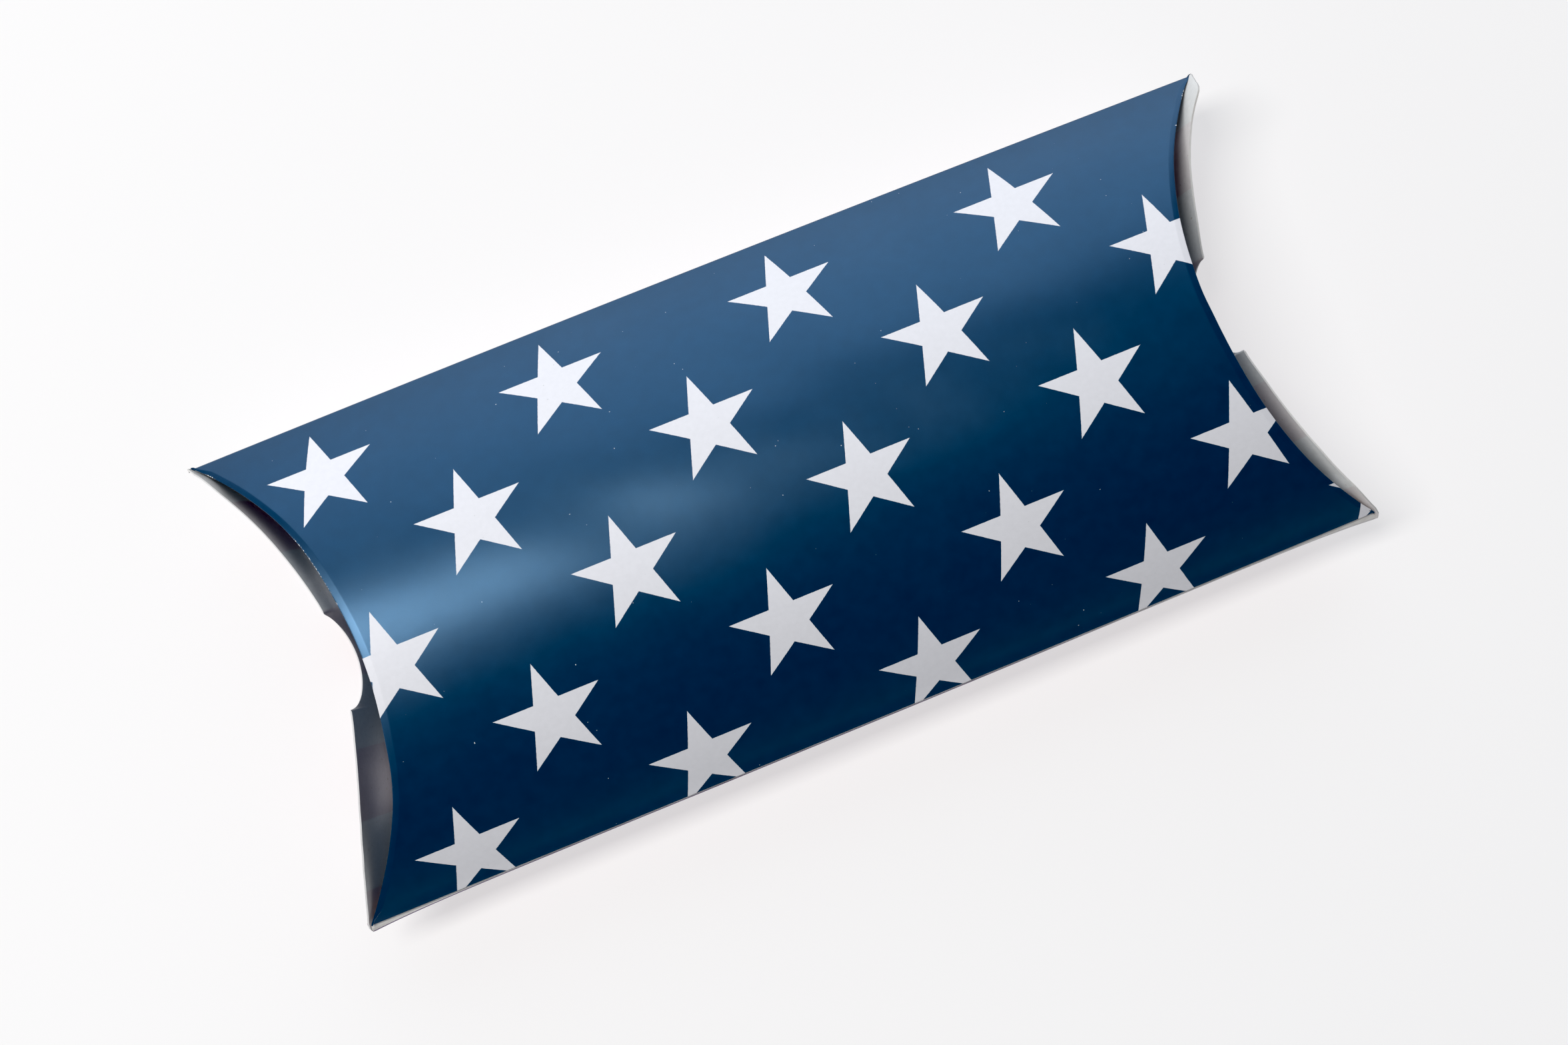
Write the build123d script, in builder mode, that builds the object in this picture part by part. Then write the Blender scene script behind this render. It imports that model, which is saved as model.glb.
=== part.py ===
from build123d import *
import math
import os

# A pillow box of thin printed card, lying on its back panel, in millimetres.
# X runs along the box, Y across it and Z up. The origin is under its middle, on the table.

# The made-up box, over the outer faces of the card
box_length = 228.6
box_width = 101.6
panel_rise = 20.2
crease_slope = 43.8
card = 0.4
bearing_width = 10.0

# The two long edges: a plain fold on the far side and the glued seam on the near one
fold_reach = 1.8
side_fold_radius = 0.8
seam_fold_radius = 0.6
seam_edge_setback = 1.0
glue_thickness = 0.1
glue_tab_width = 14.0
glue_tab_setback = 6.0
glue_margin = 2.0

# The curved creases that the end flaps hang on
crease_radius = 0.3
closing_crease_gap = 0.35
tuck_crease_gap = 0.8

# The closing flaps, which stand up outside, and the tuck flaps, which hang down inside
closing_lean = {"left": 15.0, "right": 13.0}
tuck_lean = 5.0
closing_edge_height = 8.5
closing_shoulder_setback = 4.3
closing_foot_setback = 2.6
closing_shoulder_radius = 1.5
notch_width = 21.5
notch_depth = 12.0
notch_offset = 1.5
notch_mouth_radius = 0.3
tuck_edge_drop = 8.4
tuck_foot_setback = 3.8

# Worked out from the sizes above
half_length = box_length / 2
half_width = box_width / 2
panel_radius = (half_width**2 + panel_rise**2) / (2 * panel_rise)
axis_drop = panel_radius - panel_rise
bearing_depth = panel_radius - math.sqrt(panel_radius**2 - (bearing_width / 2) ** 2)
fold_height = panel_rise - bearing_depth
panel_reach = half_width - fold_reach
slope_sine = math.sin(math.radians(crease_slope))
slope_cosine = math.cos(math.radians(crease_slope))
crease_axis_radius = panel_radius - crease_radius
crease_end_reach = panel_reach - crease_radius
crease_rise = panel_rise - crease_radius
hinge_reach = half_length - crease_rise * slope_cosine / slope_sine
flap_room = half_length + panel_rise
notch_radius = notch_width / 2
closing_shoulder_reach = half_width - closing_shoulder_setback
closing_foot_reach = half_width - closing_foot_setback
tuck_foot_reach = half_width - tuck_foot_setback

# Planes through the middle of the box at the height of the side folds
across = Plane((0, 0, fold_height), x_dir=(0, 1, 0), z_dir=(1, 0, 0))
along = Plane((0, 0, fold_height), x_dir=(1, 0, 0), z_dir=(0, -1, 0))
fold_plane = Plane.XY.offset(fold_height)
table_plane = Plane.XY

# Which way each end lies along X, and each panel along Z
sides = {"left": -1, "right": 1}
faces = {"bottom": -1, "top": 1}


def lens_section(top_trim, bottom_trim, tip_radius):
    """The lens between the top and bottom arcs, each drawn in by its trim, with round tips."""
    with BuildSketch() as lens:
        with Locations((0, -axis_drop)):
            Circle(panel_radius - top_trim)
        with Locations((0, axis_drop)):
            Circle(panel_radius - bottom_trim, mode=Mode.INTERSECT)
        fillet(lens.vertices(), tip_radius)
    return lens.sketch


def card_loop(top_trim, tip_radius):
    """One thickness of card, bent round the whole lens."""
    with BuildSketch() as loop:
        add(lens_section(top_trim, 0, tip_radius))
        add(lens_section(top_trim + card, card, tip_radius - card), mode=Mode.SUBTRACT)
    return loop.sketch


def crease_envelope(setback):
    """The space between the four crease planes, each drawn in by the setback."""
    mid_reach = half_length - setback / slope_sine
    crown_reach = mid_reach - box_width * slope_cosine / slope_sine
    with BuildPart() as envelope:
        with BuildSketch(along):
            Polygon(
                (mid_reach, 0),
                (crown_reach, box_width),
                (-crown_reach, box_width),
                (-mid_reach, 0),
                (-crown_reach, -box_width),
                (crown_reach, -box_width),
                align=None,
            )
        extrude(amount=box_width, both=True)
    return envelope.part


panel_envelope = crease_envelope(crease_radius)
fold_envelope = crease_envelope(0)


# Top panel: its near long edge is the cut edge that shows along the seam
seam_edge_reach = half_width - seam_edge_setback
with BuildPart() as top_panel:
    with BuildSketch(across):
        with Locations((0, -axis_drop)):
            Circle(panel_radius)
            Circle(panel_radius - card, mode=Mode.SUBTRACT)
        with Locations((-seam_edge_reach, 0)):
            Rectangle(
                seam_edge_reach + panel_reach,
                box_width,
                align=(Align.MIN, Align.MIN),
                mode=Mode.INTERSECT,
            )
    extrude(amount=half_length, both=True)
    add(panel_envelope, mode=Mode.INTERSECT)
top_panel.part.label = "top_panel"

# Bottom panel: the weight of the box presses its crown flat on the table
with BuildPart() as bottom_panel:
    with BuildSketch(across):
        with Locations((0, axis_drop)):
            Circle(panel_radius)
            Circle(panel_radius - card, mode=Mode.SUBTRACT)
        Rectangle(
            2 * panel_reach,
            box_width,
            align=(Align.CENTER, Align.MAX),
            mode=Mode.INTERSECT,
        )
    extrude(amount=half_length, both=True)
    add(panel_envelope, mode=Mode.INTERSECT)
    split(bisect_by=table_plane, keep=Keep.TOP)
bottom_panel.part.label = "bottom_panel"

# Side fold: the card turns over along the far edge
with BuildPart() as side_fold:
    with BuildSketch(across):
        add(card_loop(0, side_fold_radius))
        with Locations((panel_reach, 0)):
            Rectangle(
                half_width,
                box_width,
                align=(Align.MIN, Align.CENTER),
                mode=Mode.INTERSECT,
            )
    extrude(amount=half_length, both=True)
    add(fold_envelope, mode=Mode.INTERSECT)
side_fold.part.label = "side_fold"

# Seam fold: the bottom panel's near edge turns up into the glue tab, under the top panel
tab_trim = card + glue_thickness
with BuildPart() as seam_fold:
    with BuildSketch(across):
        add(card_loop(tab_trim, seam_fold_radius))
        with Locations((-panel_reach, 0)):
            Rectangle(
                half_width,
                box_width,
                align=(Align.MAX, Align.CENTER),
                mode=Mode.INTERSECT,
            )
    extrude(amount=half_length, both=True)
    add(fold_envelope, mode=Mode.INTERSECT)
seam_fold.part.label = "seam_fold"

# Glue tab: a strip under the top panel, with slanted ends that stay off the creases
tab_root_reach = half_length - glue_tab_setback
tab_tip_reach = tab_root_reach - glue_tab_width
with BuildPart() as glue_tab:
    with BuildSketch(across):
        with Locations((0, -axis_drop)):
            Circle(panel_radius - tab_trim)
            Circle(panel_radius - tab_trim - card, mode=Mode.SUBTRACT)
        with Locations((-panel_reach, 0)):
            Rectangle(
                glue_tab_width,
                box_width,
                align=(Align.MIN, Align.MIN),
                mode=Mode.INTERSECT,
            )
    extrude(amount=half_length, both=True)
    with BuildSketch(fold_plane):
        Polygon(
            (-tab_root_reach, -panel_reach),
            (tab_root_reach, -panel_reach),
            (tab_tip_reach, -panel_reach + glue_tab_width),
            (-tab_tip_reach, -panel_reach + glue_tab_width),
            align=None,
        )
    extrude(amount=box_width, mode=Mode.INTERSECT)
glue_tab.part.label = "glue_tab"

# Glue line: the band of adhesive between the tab and the top panel
with BuildPart() as glue_line:
    with BuildSketch(across):
        with Locations((0, -axis_drop)):
            Circle(panel_radius - card)
            Circle(panel_radius - tab_trim, mode=Mode.SUBTRACT)
        with Locations((-panel_reach + glue_margin, 0)):
            Rectangle(
                glue_tab_width - 2 * glue_margin,
                box_width,
                align=(Align.MIN, Align.MIN),
                mode=Mode.INTERSECT,
            )
    extrude(amount=tab_tip_reach, both=True)
glue_line.part.label = "glue_line"

root_parts = [top_panel, bottom_panel, side_fold, seam_fold, glue_tab, glue_line]


def crease_bead(side, face):
    """The pressed ridge of a curved crease: a slanting plane's cut through the panel's cylinder."""
    centre_reach = half_length + axis_drop * slope_cosine / slope_sine
    crease_plane = Plane(
        (side * centre_reach, 0, fold_height - face * axis_drop),
        x_dir=(0, 1, 0),
        z_dir=(face * slope_sine, 0, side * slope_cosine),
    )
    half_angle = math.degrees(math.asin(crease_end_reach / crease_axis_radius))
    with BuildPart() as bead:
        with BuildLine(crease_plane) as path:
            EllipticalCenterArc(
                (0, 0),
                crease_axis_radius,
                crease_axis_radius / slope_sine,
                start_angle=90 - half_angle,
                arc_size=2 * half_angle,
            )
        with BuildSketch(path.line ^ 0):
            Circle(crease_radius)
        sweep()
        split(bisect_by=table_plane, keep=Keep.TOP)
    return bead


def sheet_section(side, face, lean, growth):
    """The ellipse that a flap's straight card follows, seen along its rise at the lean."""
    lean_sine = math.sin(math.radians(lean))
    lean_cosine = math.cos(math.radians(lean))
    squash = lean_cosine * slope_cosine / slope_sine + face * lean_sine
    hinge = Vector(side * hinge_reach, 0, fold_height + face * crease_rise)
    outward = Vector(side * lean_cosine, 0, -lean_sine)
    rising = Vector(-face * side * lean_sine, 0, -face * lean_cosine)
    centre = hinge + outward * squash * crease_axis_radius - rising * half_width
    with BuildSketch(Plane(centre, x_dir=(0, 1, 0), z_dir=rising)) as section:
        Ellipse(crease_axis_radius + growth, squash * crease_axis_radius + growth)
    return section.sketch


def flap_base(side, face, crease_gap):
    """The slanting plane along a curved crease where the flap's own card starts."""
    base_normal = Vector(side * slope_sine, 0, face * slope_cosine)
    middle = Vector(side * half_length, 0, fold_height)
    return Plane(middle - base_normal * (crease_radius + crease_gap), z_dir=base_normal)


def closing_flap(side, lean):
    """An outer flap, which folds up from the bottom panel, with its thumb notch."""
    notch_floor = closing_edge_height - notch_depth + notch_radius
    notch_near = notch_offset - notch_radius
    notch_far = notch_offset + notch_radius
    outer_face = sheet_section(side, faces["bottom"], lean, card / 2)
    inner_face = sheet_section(side, faces["bottom"], lean, -card / 2)
    with BuildPart() as flap:
        with BuildSketch(across) as front:
            with BuildLine():
                Polyline(
                    (notch_near, notch_floor),
                    (notch_near, closing_edge_height),
                    (-closing_shoulder_reach, closing_edge_height),
                    (-closing_foot_reach, 0),
                    (-closing_foot_reach, -panel_rise),
                    (closing_foot_reach, -panel_rise),
                    (closing_foot_reach, 0),
                    (closing_shoulder_reach, closing_edge_height),
                    (notch_far, closing_edge_height),
                    (notch_far, notch_floor),
                )
                ThreePointArc(
                    (notch_far, notch_floor),
                    (notch_offset, notch_floor - notch_radius),
                    (notch_near, notch_floor),
                )
            make_face()
            top_corners = front.vertices().group_by(Axis.Y)[-1].sort_by(Axis.X)
            fillet(top_corners[1:-1], notch_mouth_radius)
            fillet([top_corners[0], top_corners[-1]], closing_shoulder_radius)
        extrude(amount=side * flap_room)
        extrude(outer_face, amount=2 * box_width, mode=Mode.INTERSECT)
        extrude(inner_face, amount=2 * box_width, mode=Mode.SUBTRACT)
        split(bisect_by=flap_base(side, faces["bottom"], closing_crease_gap), keep=Keep.BOTTOM)
    return flap


def tuck_flap(side):
    """An inner flap, which folds down from the top panel, with a plain curved edge."""
    outer_face = sheet_section(side, faces["top"], tuck_lean, card / 2)
    inner_face = sheet_section(side, faces["top"], tuck_lean, -card / 2)
    with BuildPart() as flap:
        with BuildSketch(across):
            with BuildLine():
                Polyline(
                    (-tuck_foot_reach, 0),
                    (-tuck_foot_reach, panel_rise),
                    (tuck_foot_reach, panel_rise),
                    (tuck_foot_reach, 0),
                )
                ThreePointArc((tuck_foot_reach, 0), (0, -tuck_edge_drop), (-tuck_foot_reach, 0))
            make_face()
        extrude(amount=side * flap_room)
        extrude(outer_face, amount=2 * box_width, mode=Mode.INTERSECT)
        extrude(inner_face, amount=2 * box_width, mode=Mode.SUBTRACT)
        split(bisect_by=flap_base(side, faces["top"], tuck_crease_gap), keep=Keep.BOTTOM)
    return flap


# The ends: four creases, each with the flap that turns on it
end_parts = []
for side_name, side in sides.items():
    for face_name, face in faces.items():
        crease = crease_bead(side, face)
        crease.part.label = side_name + "_" + face_name + "_crease"
        end_parts.append(crease)
    outer_flap = closing_flap(side, closing_lean[side_name])
    outer_flap.part.label = side_name + "_closing_flap"
    end_parts.append(outer_flap)
    inner_flap = tuck_flap(side)
    inner_flap.part.label = side_name + "_tuck_flap"
    end_parts.append(inner_flap)

os.makedirs("parts", exist_ok=True)
for piece in root_parts + end_parts:
    export_step(piece.part, "parts/" + piece.part.label + ".step")
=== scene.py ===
import bpy
import math
import numpy as np
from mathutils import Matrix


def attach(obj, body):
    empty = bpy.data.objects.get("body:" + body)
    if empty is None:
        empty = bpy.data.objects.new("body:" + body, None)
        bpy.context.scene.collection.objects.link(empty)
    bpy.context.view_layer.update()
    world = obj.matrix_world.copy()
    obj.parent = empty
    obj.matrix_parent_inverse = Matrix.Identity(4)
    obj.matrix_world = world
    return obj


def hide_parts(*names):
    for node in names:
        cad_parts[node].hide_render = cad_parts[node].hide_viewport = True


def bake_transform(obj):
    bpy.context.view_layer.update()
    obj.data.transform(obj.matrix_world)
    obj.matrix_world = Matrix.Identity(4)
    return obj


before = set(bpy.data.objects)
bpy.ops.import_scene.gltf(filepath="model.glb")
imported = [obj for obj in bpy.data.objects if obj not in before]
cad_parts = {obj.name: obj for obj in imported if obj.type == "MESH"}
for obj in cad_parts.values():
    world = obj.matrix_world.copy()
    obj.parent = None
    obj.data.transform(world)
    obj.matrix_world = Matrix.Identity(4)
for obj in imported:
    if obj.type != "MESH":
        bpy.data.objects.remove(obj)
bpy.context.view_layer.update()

# Top panel
# The front of the box, one face of the thin card blank. It is printed deep blue with rows of white stars and
# varnished, and it is curved one way only, like part of a cylinder between its two curved creases.

# The box as it is made up, in millimetres: X runs along it, Y across it and Z up from the table
CARD = 0.4
HALF_LENGTH = 114.3
HALF_WIDTH = 51.0
PANEL_RISE = 20.2
TABLE_HALF_WIDTH = 5.0
CREASE_PLANE_ANGLE = 43.8
CREASE_COT = 1 / math.tan(math.radians(CREASE_PLANE_ANGLE))
PANEL_RADIUS = (HALF_WIDTH**2 + PANEL_RISE**2) / (2 * PANEL_RISE)
AXIS_DROP = PANEL_RADIUS - PANEL_RISE
FOLD_HEIGHT = PANEL_RISE - PANEL_RADIUS + math.sqrt(PANEL_RADIUS**2 - TABLE_HALF_WIDTH**2)
FAR_FOLD_RADIUS = 0.8
TOP, BOTTOM = 1, -1
LEFT, RIGHT = -1, 1
MILLIMETRE = 0.001


def round_fold(top_trim, fold_radius):
    """How far out and how high the middle of a rounded long edge lies, and the slopes where it starts and ends."""
    top_reach = PANEL_RADIUS - top_trim - fold_radius
    rise = (top_reach**2 - (PANEL_RADIUS - fold_radius) ** 2) / (4 * AXIS_DROP)
    reach = math.sqrt(top_reach**2 - (rise + AXIS_DROP) ** 2)
    return reach, rise, math.atan2(reach, rise + AXIS_DROP), math.atan2(reach, AXIS_DROP - rise)


def arc_profile(face, first_angle, last_angle, count, trim=0.0):
    """Points across a panel as rows of Y, height over the fold, and distance over the flat blank."""
    angle = np.linspace(first_angle, last_angle, count)
    radius = PANEL_RADIUS - trim
    height = face * (radius * np.cos(angle) - AXIS_DROP)
    return np.stack([radius * np.sin(angle), height, PANEL_RADIUS * angle], 1)


def fold_profile(edge, reach, rise, radius, first_angle, last_angle, flat_start, count):
    """Points round a long edge, from the top panel's side down to the bottom panel's."""
    angle = np.linspace(first_angle, last_angle, count)
    flat = flat_start + edge * radius * (angle - first_angle)
    return np.stack([edge * (reach + radius * np.sin(angle)), rise + radius * np.cos(angle), flat], 1)


def crease_reach(height):
    """How far along the box the curved creases lie, where the card is this high over the side folds."""
    return HALF_LENGTH - CREASE_COT * np.abs(height)


TIP_SIZE = 0.1
TIP_SETBACK = 0.2
TIP_LENGTH = 2.5


def fold_size(y):
    """The creases' rounding: full size along the crease, drawn to a point at the corners of the box."""
    return np.clip(TIP_SIZE + (HALF_WIDTH - TIP_SETBACK - np.abs(y)) / TIP_LENGTH, TIP_SIZE, 1)


# The long edges of the real box aren't quite straight: both bow out along their middle, the far fold more
FAR_BOW = 0.62
FAR_BOW_AT_ENDS = 0.5
FAR_TILT = -0.1
NEAR_BOW = 0.3
BOW_POWER = 6
OUTERMOST = 1.02


def edge_bow(points):
    """How far the card bows out across the box, and how fast that changes along and across it."""
    share = np.clip(points[..., 1] / HALF_WIDTH, -OUTERMOST, OUTERMOST)
    along = np.clip(points[..., 0] / HALF_LENGTH, -1, 1)
    far, depth = share > 0, np.abs(share)
    far_size = FAR_BOW_AT_ENDS + FAR_BOW * (1 - along**2) + FAR_TILT * along
    size = np.where(far, far_size, -NEAR_BOW * (1 - along**2))
    shift = size * depth**BOW_POWER
    change = np.where(far, FAR_TILT - 2 * FAR_BOW * along, 2 * NEAR_BOW * along)
    slope_x = change / HALF_LENGTH * depth**BOW_POWER
    slope_y = size * BOW_POWER * depth ** (BOW_POWER - 1) * np.sign(share) / HALF_WIDTH
    return shift, slope_x, slope_y


def bow_out(points, normals):
    """Moves the card's points with the bow of the long edges, and turns its surface to match."""
    shift, slope_x, slope_y = edge_bow(points)
    points, normals = points.copy(), normals.copy()
    points[..., 1] += shift
    normals[..., 1] /= 1 + slope_y
    normals[..., 0] -= slope_x * normals[..., 1]
    return points, normals / np.linalg.norm(normals, axis=-1, keepdims=True)


def square_to(quads):
    """The cross products of the faces' diagonals, which stand square to the faces."""
    return np.cross(quads[:, 2] - quads[:, 0], quads[:, 3] - quads[:, 1])


def card_faces(points, normals):
    """The faces of the printed side, of the bare side behind it and of the cut edge, all turned outwards."""
    rows, columns = points.shape[:2]
    count = rows * columns
    index = np.arange(count).reshape(rows, columns)
    outer = np.stack([index[:-1, :-1], index[1:, :-1], index[1:, 1:], index[:-1, 1:]], -1).reshape(-1, 4)
    rim = np.concatenate([index[:, 0], index[-1, 1:], index[:-1, -1][::-1], index[0, 1:-1][::-1]])
    after = np.roll(rim, -1)
    edge = np.stack([rim, rim + count, after + count, after], -1)
    turned = square_to(points.reshape(-1, 3)[outer])
    if (turned * normals.reshape(-1, 3)[outer[:, 0]]).sum() < 0:
        outer, edge = outer[:, ::-1], edge[:, ::-1]
    return outer, outer[:, ::-1] + count, edge


def corner_normals(all_points, normals, faces, edge):
    """The surface's direction at each face's corners: smooth on the two sides of the card, square on its edge."""
    point_normals = np.concatenate([normals.reshape(-1, 3), -normals.reshape(-1, 3)])
    across = square_to(all_points[edge])
    across /= np.maximum(np.linalg.norm(across, axis=1, keepdims=True), 1e-9)
    smooth = point_normals[faces[: len(faces) - len(edge)].ravel()]
    return np.concatenate([smooth, np.repeat(across, 4, axis=0)])


def card_piece(name, points, run, flat, moved, wear_and_highlight=None, inner_bead=None, inked_edge=False):
    """A piece of card from a grid of its printed face, with its bare face and cut edges.

    The grid's rows go round the box and its columns along the run of the card, so the printed face
    looks along the cross product of the two, away from the middle of the box. Moved settles the card
    into its waves and bows. Each point keeps its place on the flat blank and its wear, with painted highlight on
    the left front crease.
    """
    normals = np.cross(run, np.gradient(points, axis=0))
    normals /= np.linalg.norm(normals, axis=-1, keepdims=True)
    outward = points - np.array([0.0, 0.0, FOLD_HEIGHT])
    if (normals * outward).sum() < 0:
        normals = -normals
    points, normals = moved(points, normals)
    depth = CARD if inner_bead is None else CARD + inner_bead[..., None]
    inner = points - normals * depth
    points = points.copy()
    points[..., 2] = np.maximum(points[..., 2], 0.0)

    outer_faces, inner_faces, edge_faces = card_faces(points, normals)
    all_points = np.concatenate([points.reshape(-1, 3), inner.reshape(-1, 3)])
    faces = np.concatenate([outer_faces, inner_faces, edge_faces])
    mesh = bpy.data.meshes.new(name)
    mesh.from_pydata((all_points * MILLIMETRE).tolist(), [], faces.tolist())
    mesh.polygons.foreach_set("use_smooth", [True] * len(faces))
    edge_material = 0 if inked_edge else 2
    materials = [0] * len(outer_faces) + [1] * len(inner_faces) + [edge_material] * len(edge_faces)
    mesh.polygons.foreach_set("material_index", materials)

    blank_place = np.zeros((len(all_points), 3), np.float32)
    blank_place[:, :2] = np.tile(flat.reshape(-1, 2), (2, 1))
    mesh.attributes.new("blank", "FLOAT_VECTOR", "POINT").data.foreach_set("vector", blank_place.ravel())
    rubbed_and_highlit = np.zeros(len(all_points), np.float32)
    if wear_and_highlight is not None:
        rubbed_and_highlit[:] = np.tile(wear_and_highlight.reshape(-1), 2)
    mesh.attributes.new("wear_and_highlight", "FLOAT", "POINT").data.foreach_set("value", rubbed_and_highlit)
    mesh.normals_split_custom_set(corner_normals(all_points, normals, faces, edge_faces).tolist())

    piece = bpy.data.objects.new(name, mesh)
    bpy.context.scene.collection.objects.link(piece)
    return piece


def straight_lines(x, profile):
    """Straight lines along the box as a grid: its points, their runs and their places on the flat blank."""
    y, height, across = (np.broadcast_to(values[:, None], x.shape) for values in profile.T)
    points = np.stack([x, y, FOLD_HEIGHT + height], -1)
    run = np.zeros_like(points)
    run[..., 0] = 1
    return points, run, np.stack([x, across], -1)


def cylinder_grid(profile, trim_at_end, columns):
    """Straight lines along the box, drawn in at both ends from the creases by trim_at_end."""
    y, height, _ = profile.T
    reach = crease_reach(height) - trim_at_end * fold_size(y)
    return straight_lines(reach[:, None] * np.linspace(-1, 1, columns)[None, :], profile)


# How the card turns at a crease, seen from the side: its slope in degrees at each distance, None for the full turn
TOP_TURN = [(0.0, 0), (0.45, 11), (1.55, 13), (1.95, None)]
BOTTOM_TURN = [(0.0, 0), (0.9, None)]
TURN_STEPS = 24
TUCK_LEAN = 5.0
USUAL_CLOSING_LEAN = 15.0


def crease_turn(knots, full_turn):
    """Distances out and in from the crease's start, and slopes, for each step of its turn through full_turn."""
    distance = np.linspace(0, knots[-1][0], TURN_STEPS)
    slopes = np.array([full_turn if s is None else math.radians(s) for _, s in knots])
    at = np.array([d for d, _ in knots])
    k = np.clip(np.searchsorted(at, distance, side="right") - 1, 0, len(at) - 2)
    share = (distance - at[k]) / (at[k + 1] - at[k])
    share = share * share * (3 - 2 * share)
    slope = slopes[k] + (slopes[k + 1] - slopes[k]) * share
    step = distance[1]
    middle = (slope[1:] + slope[:-1]) / 2
    out = np.concatenate([[0], np.cumsum(np.cos(middle)) * step])
    inward = np.concatenate([[0], np.cumsum(np.sin(middle)) * step])
    return out, inward, slope, distance


# How far short of its creases a panel's straight card stops
TOP_TRIM = crease_turn(TOP_TURN, math.radians(90 + TUCK_LEAN))[0].max()
BOTTOM_TRIM = crease_turn(BOTTOM_TURN, math.radians(90 - USUAL_CLOSING_LEAN))[0].max()

# The gentle waves that handling leaves in the card: height, lengths along and across the box, and start.
# The near edge also lifts off the glue tab.
WAVES = [(0.10, 71.0, 38.0, 0.4), (0.07, 47.0, 61.0, 2.1), (0.05, 31.0, 24.0, 4.0)]
EDGE_LIFT = 0.28
EDGE_LIFT_WIDTH = 2.6
EDGE_LIFT_END = 12.0


def rough_reach(y):
    """Roughly how far along the box the curved creases lie, at these places across it."""
    return HALF_LENGTH - CREASE_COT * PANEL_RISE * (1 - (y / HALF_WIDTH) ** 2)


def waves(points):
    """The height of the waves at each point of the top panel, which die out towards its edges."""
    x, y = points[..., 0], points[..., 1]
    calm = np.clip(1 - (x / rough_reach(y)) ** 2, 0, 1) * np.clip(1 - (y / HALF_WIDTH) ** 2, 0, 1)
    height = sum(
        size * np.sin(2 * math.pi * (x / along + y / across) + start) for size, along, across, start in WAVES
    )
    near = np.clip((y + HALF_WIDTH) / EDGE_LIFT_WIDTH, 0, 1)
    ends = np.clip((HALF_LENGTH - np.abs(x)) / EDGE_LIFT_END, 0, 1)
    return height * calm + EDGE_LIFT * (1 - near) ** 2 * ends


# The curved creases of the front stray a little from the true curve: how far out, at places across the box
CREASE_STRAY = {
    LEFT: [(-51, 0.0), (-48, 0.1), (-43, 0.1), (-38, -0.1), (-30, -0.35), (-24, -0.1), (-18, 0.4), (-13, 0.5),
           (8, 0.5), (13, 0.4), (20, 0.05), (25, -0.35), (33, -0.62), (42, -0.4), (46, -0.15), (49, 0.0),
           (51.5, 0.3)],
    RIGHT: [(-51, 0.0), (-47, -0.05), (-40, -0.2), (-34, -0.15), (-13, 0.45), (-6, 0.45), (0, 0.3), (4, -0.05),
            (10, -0.2), (22, -0.65), (34, -0.75), (40, -0.4), (45, 0.0), (49, 0.2), (51.5, 1.0)],
}
STRAY_DEPTH = 16.0
STRAY_SMOOTHING = (-1.5, 0.0, 1.5)


def stray(points):
    """How far out the front's creases have strayed, which fades away into the panel."""
    x, y = points[..., 0], points[..., 1]
    from_crease = rough_reach(y) - np.abs(x)
    size = np.zeros_like(x)
    for side, knots in CREASE_STRAY.items():
        at, out = np.array(knots).T
        smooth = sum(np.interp(y + d, at, out) for d in STRAY_SMOOTHING)
        size += (x * side > 0) * smooth / len(STRAY_SMOOTHING)
    return np.sign(x) * size * np.clip(1 - from_crease / STRAY_DEPTH, 0, 1) ** 2


def stray_and_bow(points, normals):
    """Moves the front's creases and tuck flaps to where they have strayed, and out with the long edges."""
    strayed = points.copy()
    strayed[..., 0] += stray(points)
    return bow_out(strayed, normals)


def wave_and_bow(points, normals):
    """Settles the top panel into its waves, then bows it out with the long edges."""
    step = 0.05
    shift = np.array([[step, 0, 0], [0, step, 0]])
    slope_x, slope_y = ((waves(points + s) - waves(points - s)) / (2 * step) for s in shift)
    waved, turned = points.copy(), normals.copy()
    waved[..., 2] += waves(points)
    turned[..., 0] -= slope_x * normals[..., 2]
    turned[..., 1] -= slope_y * normals[..., 2]
    return stray_and_bow(waved, turned)


NEAR_OVERHANG = 0.03
TOP_ROWS = 132
COLUMNS = 150
far_reach, far_rise, far_top_angle, far_bottom_angle = round_fold(0, FAR_FOLD_RADIUS)
near_edge_angle = math.asin((HALF_WIDTH + NEAR_OVERHANG) / PANEL_RADIUS)
top_profile = arc_profile(TOP, -near_edge_angle, far_top_angle, TOP_ROWS)
points, run, flat = cylinder_grid(top_profile, TOP_TRIM, COLUMNS)
top_panel = card_piece("top_panel_sheet", points, run, flat, wave_and_bow)


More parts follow.
